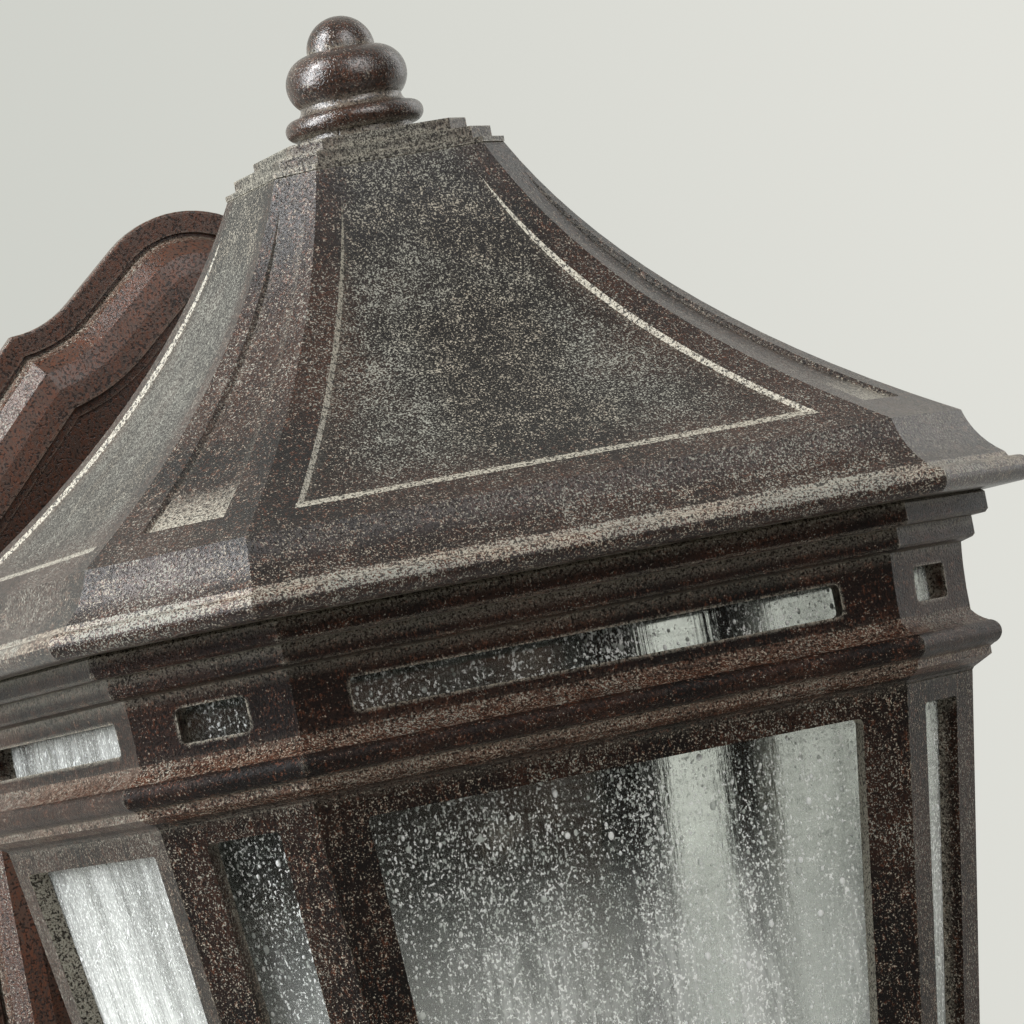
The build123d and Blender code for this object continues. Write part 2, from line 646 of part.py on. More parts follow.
nut_dome = 5.2
with BuildPart() as cap_nut:
    with BuildSketch(WALL.offset(field_t)):
        Circle(6.2)
    extrude(amount=1.2)
    with BuildSketch(WALL.offset(field_t + 1.2)):
        RegularPolygon(5.2, 6, major_radius=False)
    extrude(amount=4.2)
    with Locations((0, -(field_t + 5.4), 0)):
        Sphere(nut_dome - 0.5)
    with BuildSketch(WALL.offset(field_t)):
        Circle(2.06)
    extrude(amount=7.5, mode=Mode.SUBTRACT)
group([cap_nut.part.moved(Location((side * plate_stud_x, 0, 0))) for side in (1, -1)], "cap_nuts")

# Lamp cluster: hollow nipple and nuts through the base, a three-armed bracket and three candle lamps.
nipple_low = hub_low_z - 8.5
floor_z = base_low_z + floor_t
with BuildPart() as nipple:
    with BuildSketch(level(nipple_low)):
        Circle(5.0)
        Circle(3.6, mode=Mode.SUBTRACT)
    extrude(amount=floor_z + 13.0 - nipple_low)
finish(nipple.part, "nipple")

bracket_z = floor_z + 5.0
with BuildPart() as nipple_nuts:
    for nut_z in (floor_z, bracket_z + 2.0):
        with BuildSketch(level(nut_z)):
            RegularPolygon(8.0, 6, major_radius=False)
            Circle(5.05, mode=Mode.SUBTRACT)
        extrude(amount=4.0)
    with BuildSketch(level(floor_z + 4.0)):
        Circle(9.0)
        Circle(5.05, mode=Mode.SUBTRACT)
    extrude(amount=1.0)
group(nipple_nuts.part.solids(), "nipple_nuts")

with BuildPart() as lamp_bracket:
    with BuildSketch(level(bracket_z)):
        Circle(15)
        with PolarLocations(lamp_ring / 2, 3, start_angle=90):
            Rectangle(lamp_ring, 13)
        with PolarLocations(lamp_ring, 3, start_angle=90):
            Circle(sleeve_r - 0.5)
        Circle(5.1, mode=Mode.SUBTRACT)
        with PolarLocations(lamp_ring, 3, start_angle=90):
            Circle(2.0, mode=Mode.SUBTRACT)
    extrude(amount=2.0)
finish(lamp_bracket.part, "lamp_bracket")

lamp_z = bracket_z + 2.0
holder_h = sleeve_h - 2.0
holder_r = sleeve_r - 3.4
cap_r = 5.9
cap_h = 19.0
cap_z = lamp_z + sleeve_h - cap_h
with BuildPart() as lampholder:
    with BuildSketch(level(lamp_z)):
        Circle(holder_r)
    extrude(amount=holder_h)
    with BuildSketch(level(cap_z - 1.0)):
        Circle(cap_r + 0.25)
    extrude(amount=cap_h + 2, mode=Mode.SUBTRACT)
    with BuildSketch(level(lamp_z)):
        Circle(1.6)
    extrude(amount=6, mode=Mode.SUBTRACT)
    chamfer(lampholder.edges().filter_by(GeomType.CIRCLE).sort_by(Axis.Z)[-1], 0.5)

with BuildPart() as lamp_screw:
    add(pan_screw(3.2, 1.5, 6.5).rotate(Axis.X, 180))
lamp_screw_part = lamp_screw.part.moved(Location((0, -axis_out, eave_z + bracket_z)))

with BuildPart() as candle_sleeve:
    with BuildSketch(level(lamp_z)):
        Circle(sleeve_r)
        Circle(sleeve_r - 1.1, mode=Mode.SUBTRACT)
    extrude(amount=sleeve_h - 3.0)
    with BuildSketch(level(lamp_z + sleeve_h - 3.0)):
        Circle(sleeve_r)
        Circle(holder_r + 0.8, mode=Mode.SUBTRACT)
    extrude(amount=1.2)
    fillet(candle_sleeve.edges().filter_by(GeomType.CIRCLE).sort_by(Axis.Z)[-1], 0.6)

thread = []
for ridge in range(4):
    groove_z = cap_z + 6.5 + 3.0 * ridge
    thread += [(cap_r, groove_z - 0.9), (cap_r - 0.6, groove_z), (cap_r, groove_z + 0.9)]
with BuildPart() as bulb_cap:
    with BuildSketch(SIDE):
        with BuildLine():
            Polyline((0, cap_z), (2.4, cap_z), (3.2, cap_z + 1.4), (cap_r - 0.9, cap_z + 3.0),
                     (cap_r, cap_z + 4.2), *thread, (cap_r, cap_z + cap_h), (0, cap_z + cap_h), close=True)
        make_face()
    revolve(axis=AXIS)

bulb_z = cap_z + cap_h
bulb_top = 2.4
top_z = bulb_z + bulb_h - bulb_top
with BuildPart() as bulb_glass:
    with BuildSketch(SIDE):
        with BuildLine():
            Line((0, bulb_z), (6.4, bulb_z))
            ThreePointArc((6.4, bulb_z), (bulb_r, bulb_z + 0.37 * bulb_h), (7.2, bulb_z + 0.80 * bulb_h))
            Line((7.2, bulb_z + 0.80 * bulb_h),
                 (bulb_top * cos(radians(25)), top_z + bulb_top * sin(radians(25))))
            CenterArc((0, top_z), bulb_top, 25, 65)
            Line((0, top_z + bulb_top), (0, bulb_z))
        make_face()
    revolve(axis=AXIS)
    with BuildSketch(SIDE):
        with BuildLine():
            Line((0, bulb_z + 0.8), (5.6, bulb_z + 0.8))
            ThreePointArc((5.6, bulb_z + 0.8), (bulb_r - 0.8, bulb_z + 0.37 * bulb_h),
                          (6.4, bulb_z + 0.80 * bulb_h))
            Polyline((6.4, bulb_z + 0.80 * bulb_h), (1.2, top_z), (0, top_z), (0, bulb_z + 0.8))
        make_face()
    revolve(axis=AXIS, mode=Mode.SUBTRACT)

with BuildPart() as filament:
    with BuildSketch(SIDE):
        with BuildLine():
            Polyline((0, bulb_z + 1.0), (2.6, bulb_z + 1.0), (1.7, bulb_z + 16.0), (1.2, bulb_z + 22.0),
                     (0, bulb_z + 22.6), close=True)
        make_face()
    revolve(axis=AXIS)
    with BuildSketch(level(bulb_z + 20.0)):
        with PolarLocations(0.55, 2):
            Circle(0.4)
    extrude(amount=20.0)
    with Locations(LANTERN):
        with Locations((0, 0, bulb_z + 39.5)):
            Box(9.0, 0.8, 0.8)

holders, sleeves, lamp_screws = [], [], []
for index in range(3):
    reach = Location((lamp_ring, 0, 0))
    turn = 90 + 120 * index
    place = Location((0, -axis_out, 0), turn) * reach * Location((0, axis_out, 0))
    holders.append(lampholder.part.moved(place))
    sleeves.append(candle_sleeve.part.moved(place))
    lamp_screws.append(lamp_screw_part.moved(place))
    name = str(index + 1)
    finish(bulb_cap.part.moved(place), "bulb_cap_" + name)
    finish(bulb_glass.part.moved(place), "bulb_glass_" + name)
    finish(filament.part.moved(place), "filament_" + name)
    finish(holders[index], "lampholder_" + name)
    finish(sleeves[index], "candle_sleeve_" + name)
group(lamp_screws, "lamp_screws")
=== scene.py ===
import math

import bmesh
import bpy
from mathutils import Matrix, Vector


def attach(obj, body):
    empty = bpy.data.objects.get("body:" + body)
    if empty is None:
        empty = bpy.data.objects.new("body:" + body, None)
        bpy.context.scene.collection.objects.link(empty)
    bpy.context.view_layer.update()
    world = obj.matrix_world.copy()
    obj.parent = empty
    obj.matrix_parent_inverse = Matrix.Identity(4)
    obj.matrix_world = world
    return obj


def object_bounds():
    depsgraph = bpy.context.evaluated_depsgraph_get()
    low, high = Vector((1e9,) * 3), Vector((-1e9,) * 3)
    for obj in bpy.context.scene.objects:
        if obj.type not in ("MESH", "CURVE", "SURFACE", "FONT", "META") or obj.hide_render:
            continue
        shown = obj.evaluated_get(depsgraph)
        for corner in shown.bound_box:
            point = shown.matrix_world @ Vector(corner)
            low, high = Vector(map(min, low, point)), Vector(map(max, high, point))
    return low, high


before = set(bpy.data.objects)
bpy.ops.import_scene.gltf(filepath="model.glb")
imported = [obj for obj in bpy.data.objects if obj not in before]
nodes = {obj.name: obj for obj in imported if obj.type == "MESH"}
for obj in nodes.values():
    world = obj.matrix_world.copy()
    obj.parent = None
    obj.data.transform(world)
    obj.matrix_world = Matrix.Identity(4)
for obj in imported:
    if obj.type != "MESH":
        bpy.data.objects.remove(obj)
cad_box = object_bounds()

# Lantern axis at the height of the eave bead, in the wall frame. Heights "from the eave" start here.
AXIS = Vector((0.0, -0.176, 0.070))

# Camera fitted to the photo: turn in degrees, place from AXIS, focal length in pixels of the square frame.
PHOTO_TURN = (-18.616, 1.605, -11.023)
PHOTO_PLACE = Vector((-0.5011, -1.550, -0.0316))
PHOTO_FOCAL, PHOTO_WIDTH = 6536.6, 1024
SENSOR = 36.0

# Heights on the roof, from the eave.
SKIRT_TOP = 0.0165
PANEL_SILL, SILL_HALF = 0.0217, 0.0006

# How far the pale rub reaches from an inner corner, and from an outer corner the pale rub that is partly a
# painted highlight.
CREASE_REACH, EDGE_REACH = 0.0035, 0.0022

MERGE_DISTANCE = 1e-5
FLOOR_RADIUS, FLOOR_DROP, FLOOR_SIDES = 0.75, 0.03, 64

FLOAT, COLOUR = "NodeSocketFloat", "NodeSocketColor"


# Camera and light

def photo_camera():
    """Camera where the photographer stood: left of the lantern, level with the eaves and tilted."""
    yaw, pitch, roll = (math.radians(angle) for angle in PHOTO_TURN)
    right = Vector((math.cos(yaw), math.sin(yaw), 0))
    ahead = Vector((-math.sin(yaw), math.cos(yaw), 0))
    up = Vector((0, 0, 1))
    look = ahead * math.cos(pitch) + up * math.sin(pitch)
    rise = up * math.cos(pitch) - ahead * math.sin(pitch)
    side = right * math.cos(roll) + rise * math.sin(roll)
    crown = rise * math.cos(roll) - right * math.sin(roll)
    turn = Matrix((side, crown, -look)).transposed().to_4x4()
    data = bpy.data.cameras.new("photo_camera")
    data.sensor_width = SENSOR
    data.lens = SENSOR * PHOTO_FOCAL / PHOTO_WIDTH
    data.clip_start = 0.05
    camera = bpy.data.objects.new("photo_camera", data)
    bpy.context.scene.collection.objects.link(camera)
    camera.matrix_world = Matrix.Translation(AXIS + PHOTO_PLACE) @ turn
    bpy.context.scene.camera = camera


def softbox(name, place, aim, size, power, tint=(1, 1, 1)):
    """Soft studio lamp. place and aim are measured from AXIS."""
    data = bpy.data.lights.new(name, "AREA")
    data.shape = "RECTANGLE"
    data.size, data.size_y = size
    data.energy = power
    data.color = tint
    lamp = bpy.data.objects.new(name, data)
    bpy.context.scene.collection.objects.link(lamp)
    lamp.location = AXIS + Vector(place)
    lamp.rotation_euler = (Vector(aim) - Vector(place)).to_track_quat("-Z", "Y").to_euler()


def studio_light():
    softbox("key_left", (-1.38, 0.0, 0.50), (0, 0, -0.05), (0.7, 1.0), 28, (0.96, 0.98, 1.0))
    softbox("high_left", (-0.93, 0.03, 1.17), (0, 0, 0), (0.45, 0.45), 15)
    softbox("front_fill", (0.55, -1.70, 0.75), (0, 0, -0.05), (1.1, 0.9), 9, (1.0, 0.96, 0.92))
    softbox("high_front", (0.25, -1.15, 1.15), (0, 0, 0), (0.8, 0.8), 9)
    softbox("right_rim", (1.25, 0.45, 0.45), (0, 0, 0), (0.5, 1.2), 3)


class Graph:
    """Short hand for putting nodes into one tree and joining them."""

    def __init__(self, tree):
        self.tree = tree

    def add(self, kind, inputs=None, **settings):
        node = self.tree.nodes.new(kind)
        for key, value in settings.items():
            setattr(node, key, value)
        for key, value in (inputs or {}).items():
            self.feed(node.inputs[key], value)
        return node

    def feed(self, socket, value):
        if isinstance(value, bpy.types.NodeSocket):
            self.tree.links.new(value, socket)
        else:
            socket.default_value = value

    def math(self, operation, *values, clamp=False):
        node = self.add("ShaderNodeMath", operation=operation, use_clamp=clamp)
        for socket, value in zip(node.inputs, values):
            self.feed(socket, value)
        return node.outputs[0]

    def mix(self, share, first, second):
        """Colour mix; 0, 6 and 7 are the node's factor and colour sockets."""
        node = self.add("ShaderNodeMix", data_type="RGBA")
        for index, value in ((0, share), (6, first), (7, second)):
            self.feed(node.inputs[index], value)
        return node.outputs[2]

    def blend(self, share, first, second):
        """Plain number mix."""
        node = self.add("ShaderNodeMix", {0: share, 2: first, 3: second}, data_type="FLOAT")
        return node.outputs[0]

    def dot(self, first, second):
        node = self.add("ShaderNodeVectorMath", {0: first, 1: second}, operation="DOT_PRODUCT")
        return node.outputs["Value"]

    def noise(self, place, scale, detail=3.0, rough=0.55, warp=0.0):
        node = self.add("ShaderNodeTexNoise", {"Vector": place, "Scale": scale, "Detail": detail,
                                               "Roughness": rough, "Distortion": warp})
        return node.outputs["Fac"]

    def ramp(self, value, low, high, start=0.0, end=1.0):
        """Smooth step from start at low to end at high; low may be the larger."""
        node = self.add("ShaderNodeMapRange", {"Value": value, "From Min": low, "From Max": high,
                                               "To Min": start, "To Max": end},
                        interpolation_type="SMOOTHSTEP")
        return node.outputs[0]

    def stretch(self, place, scale):
        node = self.add("ShaderNodeMapping", {"Vector": place, "Scale": scale})
        return node.outputs[0]


def studio_world():
    """Pale grey backdrop, a little lighter to the right, with a dimmer room for the light itself.
    Mirror images show the backdrop only where they look away from the camera."""
    world = bpy.data.worlds.new("studio")
    bpy.context.scene.world = world
    world.use_nodes = True
    tree = world.node_tree
    tree.nodes.clear()
    g = Graph(tree)
    way = g.add("ShaderNodeTexCoord").outputs["Generated"]
    across = g.dot(way, (0.94, -0.34, 0.10))
    height = g.dot(way, (0, 0, 1))
    shade = g.ramp(across, -0.11, 0.11)
    backdrop = g.mix(shade, (0.62, 0.63, 0.585, 1), (0.76, 0.76, 0.71, 1))
    room = g.mix(g.ramp(height, -0.5, 0.9), (0.06, 0.055, 0.05, 1), (0.22, 0.22, 0.22, 1))
    path = g.add("ShaderNodeLightPath")
    seen = g.math("MAXIMUM", path.outputs["Is Camera Ray"], path.outputs["Is Transmission Ray"])
    behind = g.dot(way, (0.31, 0.95, 0))
    mirrored = g.math("MULTIPLY", path.outputs["Is Glossy Ray"], g.ramp(behind, 0.0, 0.5))
    seen = g.math("MAXIMUM", seen, mirrored)
    colour = g.mix(seen, room, backdrop)
    back = g.add("ShaderNodeBackground", {"Color": colour, "Strength": 1.0})
    out = g.add("ShaderNodeOutputWorld")
    tree.links.new(back.outputs[0], out.inputs[0])


def blank_material(name):
    material = bpy.data.materials.new(name)
    material.use_nodes = True
    material.node_tree.nodes.clear()
    return material, Graph(material.node_tree)


def close_material(g, shader):
    out = g.add("ShaderNodeOutputMaterial")
    g.tree.links.new(shader, out.inputs["Surface"])


def new_group(name, inputs, outputs):
    """Shader node group with named inputs (socket kind, default) and outputs."""
    tree = bpy.data.node_groups.new(name, "ShaderNodeTree")
    for label, (kind, value) in inputs.items():
        socket = tree.interface.new_socket(label, in_out="INPUT", socket_type=kind)
        socket.default_value = value
    for label, kind in outputs.items():
        tree.interface.new_socket(label, in_out="OUTPUT", socket_type=kind)
    g = Graph(tree)
    return tree, g, g.add("NodeGroupInput").outputs, g.add("NodeGroupOutput").inputs


def patina_group():
    """Hand-rubbed bronze paint: near-black brown ground, rust bloom and a crisp pale dry-brushed speckle.
    Drag is the way the brush went: 1 along the mouldings, 0 up and down."""
    tree, g, use, put = new_group(
        "rubbed_patina",
        {"Ground": (COLOUR, (0.009, 0.008, 0.0075, 1)), "Brown": (COLOUR, (0.036, 0.017, 0.011, 1)),
         "Rust": (COLOUR, (0.105, 0.038, 0.020, 1)), "Beige": (COLOUR, (0.40, 0.36, 0.285, 1)),
         "Grey": (COLOUR, (0.30, 0.30, 0.255, 1)), "Cream": (COLOUR, (0.52, 0.49, 0.40, 1)),
         "Dust": (FLOAT, 0.5), "Bloom": (FLOAT, 0.5), "Crease": (FLOAT, 0.0), "Edge": (FLOAT, 0.0),
         "Drag": (FLOAT, 0.0)},
        {"Color": COLOUR, "Roughness": FLOAT, "Height": FLOAT})
    place = g.add("ShaderNodeTexCoord").outputs["Object"]
    broad = g.noise(place, 26, 3, 0.5)
    patches = g.noise(place, 170, 4, 0.65, 0.3)
    grain = g.noise(place, 2300, 2, 0.7)
    upright = g.noise(g.stretch(place, (650, 650, 150)), 1.0, 3, 0.6)
    along = g.noise(g.stretch(place, (170, 170, 650)), 1.0, 3, 0.6)
    wipes = g.blend(use["Drag"], upright, along)
    flecks = g.noise(g.stretch(place, (1, 1, 0.6)), 1500, 3, 0.7)
    redder = g.math("MULTIPLY_ADD", broad, 0.8, g.math("MULTIPLY", flecks, 0.2))
    redder = g.math("MULTIPLY_ADD", g.math("SUBTRACT", use["Bloom"], 0.5), 0.5, redder)
    colour = g.mix(g.ramp(redder, 0.38, 0.66), use["Ground"], use["Brown"])
    stain = g.math("MULTIPLY_ADD", wipes, 0.35, g.math("MULTIPLY", flecks, 0.65))
    stain = g.math("MULTIPLY_ADD", g.math("SUBTRACT", use["Bloom"], 0.5), 0.30, stain)
    colour = g.mix(g.math("MULTIPLY", g.ramp(stain, 0.53, 0.64), 0.8), colour, use["Rust"])
    cover = g.math("MULTIPLY_ADD", g.math("SUBTRACT", broad, 0.5), 0.35, use["Dust"])
    cover = g.math("MULTIPLY_ADD", g.math("SUBTRACT", patches, 0.5), 0.35, cover)
    cover = g.math("MULTIPLY_ADD", g.math("SUBTRACT", wipes, 0.5), 0.32, cover)
    speck = g.math("MULTIPLY_ADD", grain, 0.70, g.math("MULTIPLY", flecks, 0.30))
    dust = g.ramp(g.math("MULTIPLY_ADD", g.math("SUBTRACT", cover, 0.5), 0.42, speck), 0.51, 0.59)
    pale = g.mix(g.ramp(broad, 0.40, 0.58), use["Beige"], use["Grey"])
    colour = g.mix(dust, colour, pale)
    # Cream in the creases is pale dust in the hollows; cream on the proud edges is partly dry-brush wear and
    # partly a painted highlight on the arrises.
    lined = g.math("MULTIPLY", g.math("MAXIMUM", use["Crease"], use["Edge"]), g.ramp(speck, 0.36, 0.54))
    colour = g.mix(lined, colour, use["Cream"])
    pits = g.ramp(g.noise(place, 1350, 2, 0.5), 0.38, 0.47)
    colour = g.mix(g.math("MULTIPLY_ADD", pits, -0.85, 0.85), colour, (0.008, 0.006, 0.005, 1))
    g.feed(put["Color"], colour)
    g.feed(put["Roughness"], g.math("MULTIPLY_ADD", dust, 0.25, g.math("MULTIPLY_ADD", patches, 0.20, 0.28)))
    height = g.math("MULTIPLY_ADD", speck, 0.7, g.math("MULTIPLY", pits, 0.5))
    g.feed(put["Height"], g.math("MULTIPLY_ADD", patches, 0.7, height))
    return tree


def about_axis(g):
    """Place measured from the lantern's axis, whether it is on a left or right side, and how far round from
    the middle of a wide face (0) it lies."""
    place = g.add("ShaderNodeTexCoord").outputs["Object"]
    about = g.add("ShaderNodeVectorMath", {0: place, 1: AXIS}, operation="SUBTRACT").outputs[0]
    part = g.add("ShaderNodeSeparateXYZ", {0: about}).outputs
    wide, deep = g.math("ABSOLUTE", part["X"]), g.math("ABSOLUTE", part["Y"])
    share = g.math("DIVIDE", g.math("MINIMUM", wide, deep), g.math("MAXIMUM", wide, deep))
    return part, g.math("GREATER_THAN", wide, deep), share


def inner_faces(g):
    """1 on faces that look in towards the lamps, which the dry brush never reached."""
    place = g.add("ShaderNodeTexCoord").outputs["Object"]
    about = g.add("ShaderNodeVectorMath", {0: place, 1: AXIS}, operation="SUBTRACT").outputs[0]
    flat = g.add("ShaderNodeVectorMath", {0: about, 1: (1, 1, 0)}, operation="MULTIPLY").outputs[0]
    out = g.add("ShaderNodeVectorMath", {0: flat}, operation="NORMALIZE").outputs[0]
    face = g.add("ShaderNodeNewGeometry").outputs["True Normal"]
    return g.math("LESS_THAN", g.dot(out, face), -0.62)


def side_walls(g, low, high):
    """1 on walls that face sideways within the wide faces: the leaning walls of the sunk roof panels and the
    window reveals, where the pale rub is left thick. low and high are heights from the eave."""
    part, on_side, share = about_axis(g)
    face = g.add("ShaderNodeNewGeometry").outputs["True Normal"]
    facing = g.add("ShaderNodeSeparateXYZ", {0: face}).outputs
    across = g.blend(on_side, facing["X"], facing["Y"])
    lean = g.ramp(g.math("ABSOLUTE", across), 0.25, 0.45)
    inside = g.math("MULTIPLY", g.math("GREATER_THAN", part["Z"], low),
                    g.math("LESS_THAN", part["Z"], high))
    return g.math("MULTIPLY", lean, g.math("MULTIPLY", inside, g.math("LESS_THAN", share, 0.70)))


def panel_centre(g):
    """1 in the middle of the roof's wide panels, 0 at the hips and on the skirt."""
    part, _, share = about_axis(g)
    return g.math("MULTIPLY", g.ramp(share, 0.66, 0.36), g.ramp(part["Z"], 0.018, 0.034))


def rubbed_bronze(name, patina, dust, bloom, cream, shine, edge=0.0, drag=0.0, polish=1.0, walls=None,
                  brown=None, relief=0.5, bands=(), sheltered=True, on_roof=False, painted_plate_shadow=False):
    """Cast piece in rubbed bronze. walls gives the heights between which sideways walls are rubbed pale, and
    bands those between which rust and dust lie thicker, both from the eave. A sheltered piece has no pale
    dust on its inner faces."""
    material, g = blank_material(name)
    closed = g.add("ShaderNodeAmbientOcclusion", {"Distance": CREASE_REACH}, samples=4)
    crease = g.ramp(closed.outputs["AO"], 0.90, 0.60, 0.0, cream)
    if walls:
        crease = g.math("MAXIMUM", crease, g.math("MULTIPLY", side_walls(g, *walls), 0.9))
    if on_roof:
        middle = panel_centre(g)
        part, _, share = about_axis(g)
        sill = g.math("MULTIPLY", g.math("COMPARE", part["Z"], PANEL_SILL, SILL_HALF),
                      g.math("LESS_THAN", share, 0.63))
        crease = g.math("MAXIMUM", crease, g.math("MULTIPLY", sill, 0.8))
        dust = g.math("MULTIPLY_ADD", middle, 0.10, dust)
        bloom = g.math("MULTIPLY_ADD", middle, -0.25, bloom)
        drag = g.math("LESS_THAN", part["Z"], SKIRT_TOP)
        dust = g.math("MULTIPLY_ADD", drag, 0.05, dust)
        crease = g.math("MULTIPLY", crease, g.ramp(share, 0.66, 0.72, 1.0, 0.5))
    elif sheltered:
        bare = inner_faces(g)
        dust = g.math("MULTIPLY_ADD", bare, -0.5, dust)
        crease = g.math("MULTIPLY", crease, g.math("SUBTRACT", 1.0, bare))
    # Painted shadow: the plate is painted darker in its lower middle, behind the lantern, where the lantern
    # shades it.
    if painted_plate_shadow:
        part = about_axis(g)[0]
        middle = g.math("MULTIPLY", g.ramp(g.math("ABSOLUTE", part["X"]), 0.080, 0.050),
                        g.ramp(part["Z"], -0.010, -0.050))
        bloom = g.math("MULTIPLY_ADD", g.math("MULTIPLY", middle, bare), -0.35, bloom)
    for low, high in bands:
        height = about_axis(g)[0]["Z"]
        band = g.math("COMPARE", height, (low + high) / 2, (high - low) / 2)
        dust = g.math("MULTIPLY_ADD", band, 0.18, dust)
        bloom = g.math("MULTIPLY_ADD", band, 0.3, bloom)
    rub = {"Dust": dust, "Bloom": bloom, "Crease": crease, "Drag": drag}
    if brown:
        rub["Brown"] = brown
    # Proud edges get the cream rub: partly dry-brush wear, partly a painted highlight for the light the
    # arrises catch.
    if edge:
        proud = g.add("ShaderNodeAmbientOcclusion", {"Distance": EDGE_REACH}, samples=4, inside=True,
                      only_local=True)
        rub["Edge"] = g.ramp(proud.outputs["AO"], 0.75, 0.40, 0.0, edge)
    group = g.add("ShaderNodeGroup")
    group.node_tree = patina
    for label, value in rub.items():
        g.feed(group.inputs[label], value)
    bump = g.add("ShaderNodeBump", {"Strength": relief, "Distance": 0.0005,
                                    "Height": group.outputs["Height"]})
    roughness = g.math("DIVIDE", group.outputs["Roughness"], polish)
    skin = g.add("ShaderNodeBsdfPrincipled", {"Base Color": group.outputs["Color"], "Metallic": 0.0,
                                              "Roughness": roughness, "Specular IOR Level": shine,
                                              "Normal": bump.outputs["Normal"]})
    close_material(g, skin.outputs[0])
    return material


def drawn_glass_group():
    """Old drawn glass: fine upright streaks and dried specks, slow waves and clear ground between, with a
    thin breath of milk across the upper half of the windows."""
    tree, g, use, put = new_group(
        "drawn_glass", {"Streak Amount": (FLOAT, 0.5)},
        {"Color": COLOUR, "Roughness": FLOAT, "Height": FLOAT, "Milk": FLOAT, "Haze": FLOAT})
    place = g.add("ShaderNodeTexCoord").outputs["Object"]
    streaks = g.noise(g.stretch(place, (700, 700, 14)), 1.0, 4, 0.62)
    bands = g.noise(g.stretch(place, (70, 70, 5)), 1.0, 2, 0.5)
    waves = g.noise(g.stretch(place, (60, 60, 18)), 1.0, 2, 0.5)
    dots = g.noise(g.stretch(place, (1, 1, 0.7)), 1500, 2, 0.6)
    drift = g.math("MULTIPLY_ADD", bands, 0.5, g.math("MULTIPLY", streaks, 0.5))
    haze = g.math("MULTIPLY", g.ramp(drift, 0.46, 0.66), use["Streak Amount"])
    specks = g.ramp(g.math("MULTIPLY_ADD", drift, 0.45, dots), 0.82, 0.87)
    height = g.add("ShaderNodeSeparateXYZ", {0: place}).outputs["Z"]
    breath = g.math("MULTIPLY", g.ramp(height, 0.005, -0.040), g.ramp(height, -0.120, -0.060))
    film = g.math("MULTIPLY", g.math("MULTIPLY_ADD", haze, 0.50, 0.25),
                  g.math("MULTIPLY_ADD", breath, 0.97, 0.03))
    milk = g.math("MULTIPLY", g.math("ADD", film, specks), use["Streak Amount"], clamp=True)
    g.feed(put["Color"], g.mix(haze, (0.89, 0.91, 0.885, 1), (0.83, 0.85, 0.82, 1)))
    dull = g.math("MULTIPLY", use["Streak Amount"], 0.06)
    g.feed(put["Roughness"], g.math("MULTIPLY_ADD", haze, 0.14, dull))
    g.feed(put["Height"], g.math("MULTIPLY_ADD", streaks, 0.25, waves))
    g.feed(put["Milk"], milk)
    g.feed(put["Haze"], g.ramp(drift, 0.36, 0.60, 0.25, 1.0))
    return tree


def clear_glass(name, drawn, streak, bend):
    """Glass that lets light through to what stands behind it, milky where it is streaked. The low index
    keeps the pale floor out of the panes."""
    material, g = blank_material(name)
    group = g.add("ShaderNodeGroup")
    group.node_tree = drawn
    group.inputs["Streak Amount"].default_value = streak
    bump = g.add("ShaderNodeBump", {"Strength": bend, "Distance": 0.001, "Height": group.outputs["Height"]})
    shader = g.add("ShaderNodeBsdfPrincipled", {"Base Color": group.outputs["Color"], "Metallic": 0.0,
                                                "Roughness": group.outputs["Roughness"], "IOR": 1.2,
                                                "Transmission Weight": 1.0, "Normal": bump.outputs["Normal"]})
    if streak:
        milky = g.add("ShaderNodeBsdfPrincipled", {"Base Color": (0.86, 0.88, 0.85, 1), "Metallic": 0.0,
                                                   "Roughness": 0.35, "Transmission Weight": 0.0})
        slant = g.add("ShaderNodeLayerWeight", {"Blend": 0.5}).outputs["Facing"]
        veil = g.math("MULTIPLY", g.math("POWER", slant, 3.0), 0.9)
        veil = g.math("MULTIPLY", veil, group.outputs["Haze"])
        cover = g.math("ADD", group.outputs["Milk"], veil, clamp=True)
        shader = g.add("ShaderNodeMixShader", {0: cover, 1: shader.outputs[0], 2: milky.outputs[0]})
    through = g.add("ShaderNodeBsdfTransparent", {"Color": (0.60, 0.62, 0.60, 1)})
    path = g.add("ShaderNodeLightPath")
    passing = g.math("MAXIMUM", path.outputs["Is Shadow Ray"], path.outputs["Is Diffuse Ray"])
    both = g.add("ShaderNodeMixShader", {0: passing, 1: shader.outputs[0], 2: through.outputs[0]})
    close_material(g, both.outputs[0])
    return material


def worked_surface(name, light, dark, scale, stretch, rough, metallic, bump_depth):
    """Plain worked material with fine grain: plated steel, rolled brass, moulded or waxed plastic."""
    material, g = blank_material(name)
    place = g.add("ShaderNodeTexCoord").outputs["Object"]
    fine = g.noise(g.stretch(place, stretch), scale, 4, 0.6)
    broad = g.noise(place, scale * 0.08, 3, 0.55)
    share = g.math("ADD", g.math("MULTIPLY", fine, 0.6), g.math("MULTIPLY", broad, 0.4))
    colour = g.mix(g.ramp(share, 0.32, 0.68), dark, light)
    bump = g.add("ShaderNodeBump", {"Strength": 0.3, "Distance": bump_depth, "Height": fine})
    skin = g.add("ShaderNodeBsdfPrincipled", {"Base Color": colour, "Metallic": metallic,
                                              "Roughness": g.ramp(share, 0.2, 0.8, rough[0], rough[1]),
                                              "Normal": bump.outputs["Normal"]})
    close_material(g, skin.outputs[0])
    return material


def dress(names, material):
    """Give CAD nodes their material; a later call takes the place of an earlier one."""
    for name in names:
        mesh = nodes[name].data
        mesh.materials.clear()
        mesh.materials.append(material)


def named(*starts):
    return [name for name in nodes if name.startswith(starts)]


